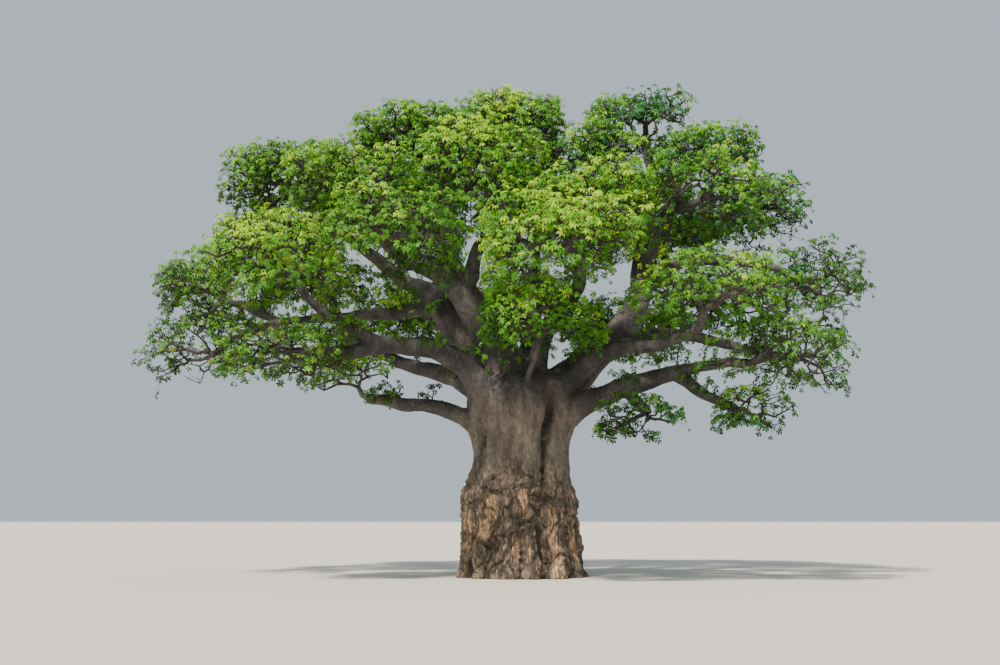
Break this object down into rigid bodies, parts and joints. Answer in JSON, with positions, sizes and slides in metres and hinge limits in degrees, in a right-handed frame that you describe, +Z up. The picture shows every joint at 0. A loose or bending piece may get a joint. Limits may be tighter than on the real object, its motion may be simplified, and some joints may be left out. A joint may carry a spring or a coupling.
{
  "type": "baobab tree",
  "caption": "Baobab in leaf: a barrel trunk with a folded, scarred foot, thick crooked boughs and a wide, open crown of leafy masses with sky between them.",
  "frame": {"origin": "middle of the trunk's flat cut at ground level, the mount named ground", "axes": "+Z up the trunk; +X along the crown's greatest spread, to the right in the picture; +Y away from the picture's viewer"},
  "size_m": [26.1809, 21.9963, 18.1907],
  "materials": {
    "trunk_bark": "matt grey-brown bark, smooth above the waist, scaly and torn to tan inner bark below",
    "bough_bark": "matt smooth grey bark with fine creases",
    "foliage": "soft satin leaves, yellow-green where young and lit, deep green inside the crown"
  },
  "bodies": {
    "root": {"bough_front": "bough_bark", "bough_left_front": "bough_bark", "bough_left_long": "bough_bark", "bough_left_low": "bough_bark", "bough_left_mid": "bough_bark", "bough_left_rear": "bough_bark", "bough_left_rising": "bough_bark", "bough_rear": "bough_bark", "bough_rear_left": "bough_bark", "bough_rear_right": "bough_bark", "bough_right_back": "bough_bark", "bough_right_drooping": "bough_bark", "bough_right_front": "bough_bark", "bough_right_high": "bough_bark", "bough_right_long": "bough_bark", "bough_right_low": "bough_bark", "bough_right_mid": "bough_bark", "bough_right_outer": "bough_bark", "bough_right_under": "bough_bark", "bough_upper_front": "bough_bark", "bough_upper_left": "bough_bark", "leader_centre": "bough_bark", "leader_left": "bough_bark", "leader_right": "bough_bark", "leaves_dome": "foliage", "leaves_front": "foliage", "leaves_front_high": "foliage", "leaves_front_left": "foliage", "leaves_front_right": "foliage", "leaves_inner_front": "foliage", "leaves_left_front": "foliage", "leaves_left_front_low": "foliage", "leaves_left_lobe": "foliage", "leaves_left_low": "foliage", "leaves_left_rear": "foliage", "leaves_left_rear_low": "foliage", "leaves_left_tip": "foliage", "leaves_left_twiggy": "foliage", "leaves_rear": "foliage", "leaves_rear_left": "foliage", "leaves_rear_right": "foliage", "leaves_right_front": "foliage", "leaves_right_front_low": "foliage", "leaves_right_hanging": "foliage", "leaves_right_high": "foliage", "leaves_right_low": "foliage", "leaves_right_rear": "foliage", "leaves_right_tip": "foliage", "leaves_right_under": "foliage", "leaves_top": "foliage", "leaves_top_front": "foliage", "leaves_top_left": "foliage", "leaves_top_rear": "foliage", "leaves_upper_left": "foliage", "leaves_upper_left_front": "foliage", "leaves_upper_left_rear": "foliage", "leaves_upper_right": "foliage", "leaves_upper_right_mid": "foliage", "leaves_upper_right_rear": "foliage", "trunk": "trunk_bark"}
  },
  "joints": []
}
